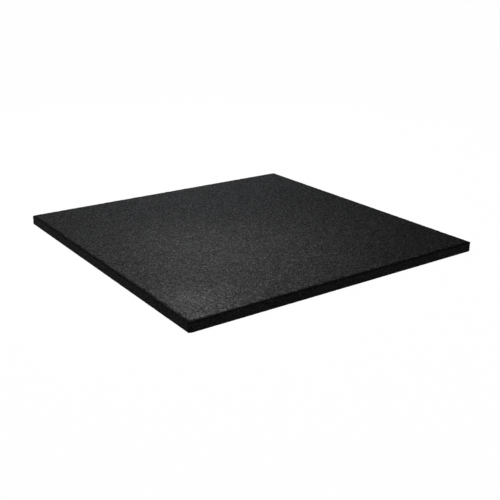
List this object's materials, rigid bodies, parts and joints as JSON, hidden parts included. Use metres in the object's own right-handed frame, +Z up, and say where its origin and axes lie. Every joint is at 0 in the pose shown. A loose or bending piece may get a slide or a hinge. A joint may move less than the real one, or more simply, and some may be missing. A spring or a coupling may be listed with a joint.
{
  "type": "gym floor mat",
  "caption": "Square rubber granulate floor mat for a gym, with softly rounded edges and corners, laid flat or butted against its neighbours.",
  "frame": {"origin": "middle of the underside, on the floor", "axes": "+Z up through the thickness, out of the tread face; +X and +Y along the two equal sides"},
  "size_m": [1, 1, 0.03],
  "materials": {
    "rubber_granulate": "matt black bonded rubber granulate, fine speckled grain"
  },
  "bodies": {
    "root": {"rubber_mat": "rubber_granulate"}
  },
  "joints": []
}
